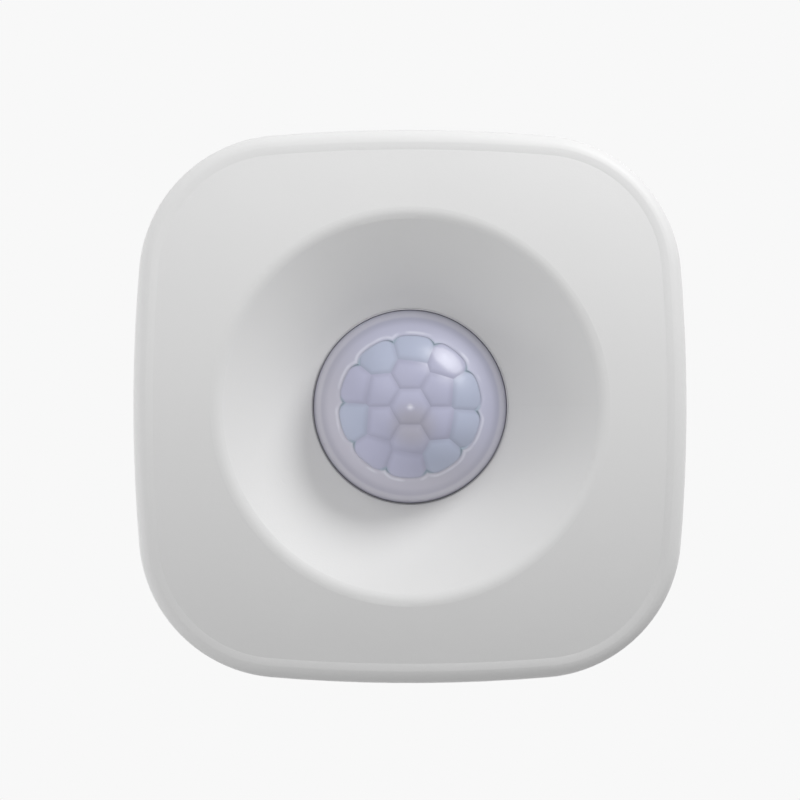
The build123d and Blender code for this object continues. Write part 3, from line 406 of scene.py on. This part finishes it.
def lens_plastic():
    """Milky lilac dome: cells moulded inside it show through as pillows, under a smooth gloss outside."""
    made, tree, shader = new_material("lens_plastic")
    from_middle = vector_math(tree, "SUBTRACT", place(tree), lens_centre)
    direction = vector_math(tree, "NORMALIZE", from_middle)
    radius = radius_from_axis(tree, from_middle)
    nearest, second, tint = nearest_cells(tree, direction)
    to_line = angle_to_line(tree, nearest, second)
    to_edge = angle_to_edge(tree, direction, nearest)

    in_field = smooth(tree, to_edge, 0.0, 1.0, -EDGE_SOFTNESS, EDGE_SOFTNESS)
    near_edge = fade(tree, math_node(tree, "ABSOLUTE", to_edge), 0.0, EDGE_WIDTH)
    groove = math_node(tree, "MULTIPLY", fade(tree, to_line, 0.0, GROOVE_WIDTH), in_field)
    corner = math_node(tree, "MULTIPLY", fade(tree, to_line, 0.0, CORNER_WIDTH), near_edge)
    # Painted shade in the creases between the cells, together with the line round the dome's foot.
    lines = math_node(tree, "MAXIMUM", math_node(tree, "MULTIPLY", groove, GROOVE_SHARE),
                      foot_lines(tree, radius))

    colour = blend_colours(tree, in_field, skirt_colour(tree, direction, radius),
                           cell_colour(tree, from_middle, tint))
    colour = blend_colours(tree, lines, colour, LINE_AND_SHADE_TINT)
    # Painted shade along the cell field's step, darker still where the lines between cells meet it.
    colour = blend_colours(tree, math_node(tree, "MULTIPLY", near_edge, EDGE_SHARE), colour, LINE_AND_SHADE_TINT)
    colour = blend_colours(tree, math_node(tree, "MULTIPLY", corner, CORNER_SHARE), colour, CORNER_SHADE_TINT)
    # Painted highlight just outside the cell field's edge.
    colour = blend_colours(tree, painted_edge_highlight(tree, to_edge), colour, EDGE_HIGHLIGHT)
    gate = fade(tree, radius, *GATE_RADII, strength=0.5)
    colour = blend_colours(tree, gate, colour, GATE_TINT)
    join(tree, painted_gathered_light(tree, direction, colour), shader.inputs["Base Color"])

    pillow = math_node(tree, "MAXIMUM", nearest, math.cos(math.radians(CELL_REACH)))
    step = math_node(tree, "MULTIPLY", in_field, -FIELD_STEP)
    bump(tree, shader, math_node(tree, "ADD", pillow, step), RELIEF_DEPTH)
    set_roughness(tree, shader, noise(tree, 1.2 * MM), 0.34, 0.46)
    shader.inputs["Coat Weight"].default_value = 1.0
    shader.inputs["Coat Roughness"].default_value = 0.14
    shader.inputs["Coat IOR"].default_value = 1.31
    return made


# ---------------------------------------------------------------- a finish for every node
finishes = {
    "case_plastic": case_plastic(),
    "lens_plastic": lens_plastic(),
    "gasket_rubber": gasket_rubber(),
    "retainer_plastic": simple_solid("retainer_plastic", (0.62, 0.61, 0.57), 0.45),
    "board": board_mask("board", (0.010, 0.085, 0.035), (0.022, 0.15, 0.06)),
    "radio_board": board_mask("radio_board", (0.008, 0.02, 0.07), (0.016, 0.04, 0.11)),
    "tinned_steel": simple_solid("tinned_steel", (0.60, 0.59, 0.56), 0.28, 1.0),
    "detector_window": simple_solid("detector_window", (0.03, 0.028, 0.035), 0.15),
    "chip_epoxy": simple_solid("chip_epoxy", (0.018, 0.018, 0.02), 0.55),
    "chip_leads": simple_solid("chip_leads", (0.66, 0.66, 0.66), 0.25, 1.0),
    "led_resin": simple_solid("led_resin", (0.75, 0.68, 0.42), 0.15),
    "ceramic": tinned_ends("ceramic", "ceramic_capacitors", (0.34, 0.22, 0.11)),
    "resistor_body": tinned_ends("resistor_body", "resistors", (0.02, 0.02, 0.024)),
    "capacitor_can": capacitor_can(),
    "inductor_core": simple_solid("inductor_core", (0.05, 0.05, 0.055), 0.6),
    "switch_plastic": simple_solid("switch_plastic", (0.022, 0.022, 0.023), 0.45),
    "plunger_plastic": simple_solid("plunger_plastic", (0.50, 0.49, 0.46), 0.4),
    "battery_steel": simple_solid("battery_steel", (0.70, 0.69, 0.66), 0.25, 1.0),
    "battery_sleeve": battery_print(),
    "contact_nickel": simple_solid("contact_nickel", (0.66, 0.62, 0.56), 0.28, 1.0),
    "screw_steel": simple_solid("screw_steel", (0.50, 0.50, 0.51), 0.35, 1.0),
}

for row in frame["record"]["subparts"]:
    frame["nodes"][row["node"]].material_slots[0].material = finishes[row["material_slot"]]

# ---------------------------------------------------------------- stage, light and camera
# The floor is far down, so that it doesn't hide the sensor from a camera below it.
FLOOR_Z = -1.0
FLOOR_RADIUS = 3.0
FLOOR_SIDES = 128
FLOOR_COLOUR = (0.80, 0.80, 0.80)
# The case's widest part fills this share of the picture's width, a little below and right of its middle.
CASE_SHARE = 0.69125
SHIFT_ACROSS = -0.0125
SHIFT_UP = 0.0081
CAMERA_DISTANCE = 0.9


def make_floor():
    """Pale round floor far below the sensor, which fades out towards its rim."""
    bpy.ops.mesh.primitive_circle_add(vertices=FLOOR_SIDES, radius=FLOOR_RADIUS, fill_type="NGON",
                                      location=(0, 0, FLOOR_Z))
    floor = bpy.context.object
    floor.name = "floor"
    made, tree, shader = new_material("floor")
    join(tree, mottled(tree, 0.08, FLOOR_COLOUR, darker(FLOOR_COLOUR, 0.975)), shader.inputs["Base Color"])
    shader.inputs["Roughness"].default_value = 0.9
    reach = vector_math(tree, "LENGTH", place(tree), result="Value")
    opacity = spread(tree, reach, 1.0, 0.0, 0.35 * FLOOR_RADIUS, 0.97 * FLOOR_RADIUS)
    join(tree, opacity, shader.inputs["Alpha"])
    floor.data.materials.append(made)


def make_world(behind, ahead):
    """Soft room light: one level from behind the sensor and another from the room before it."""
    world = bpy.data.worlds.new("studio")
    bpy.context.scene.world = world
    world.use_nodes = True
    tree = world.node_tree
    direction = tree.nodes.new("ShaderNodeTexCoord").outputs["Generated"]
    level = spread(tree, parts_of(tree, direction)["Y"], ahead, behind, -0.2, 0.8)
    tree.nodes["Background"].inputs["Color"].default_value = (1, 1, 1, 1)
    join(tree, level, tree.nodes["Background"].inputs["Strength"])


def softbox(name, tilt, turn, distance, size, power, mirrored=False):
    """Oval light facing the sensor from the direction that tilt and turn give."""
    light = bpy.data.lights.new(name, "AREA")
    light.shape = "ELLIPSE"
    light.size, light.size_y = size
    light.energy = power
    piece = bpy.data.objects.new(name, light)
    bpy.context.scene.collection.objects.link(piece)
    away = unit_vector(tilt, turn)
    along = Vector((-math.sin(math.radians(turn)), 0, math.cos(math.radians(turn))))
    axes = Matrix((along, away.cross(along), away)).transposed()
    piece.matrix_world = Matrix.Translation(Vector((0, seam_y, 0)) + away * distance) @ axes.to_4x4()
    piece.visible_camera = False
    piece.visible_glossy = mirrored


def make_camera():
    """Camera straight before the sensor."""
    view_width = case_width / CASE_SHARE
    camera = bpy.data.cameras.new("camera")
    camera.sensor_width = 36.0
    camera.lens = camera.sensor_width * CAMERA_DISTANCE / view_width
    camera.clip_start = 0.01
    camera.clip_end = 20.0
    piece = bpy.data.objects.new("camera", camera)
    bpy.context.scene.collection.objects.link(piece)
    piece.location = (view_width * SHIFT_ACROSS, seam_y - CAMERA_DISTANCE, view_width * SHIFT_UP)
    piece.rotation_euler = (math.radians(90), 0, 0)
    bpy.context.scene.camera = piece


make_floor()
make_world(behind=0.939, ahead=0.42)
softbox("key", 71, 51, 0.42, (0.25, 0.17), 1.06, mirrored=True)
softbox("left", 86, 180, 0.35, (0.20, 0.20), 0.308)
softbox("front_left", 25, 180, 0.35, (0.20, 0.20), 0.096)
softbox("near_top", 35, 110, 0.16, (0.12, 0.12), 0.050)
make_camera()
bpy.context.scene.view_settings.view_transform = "Standard"
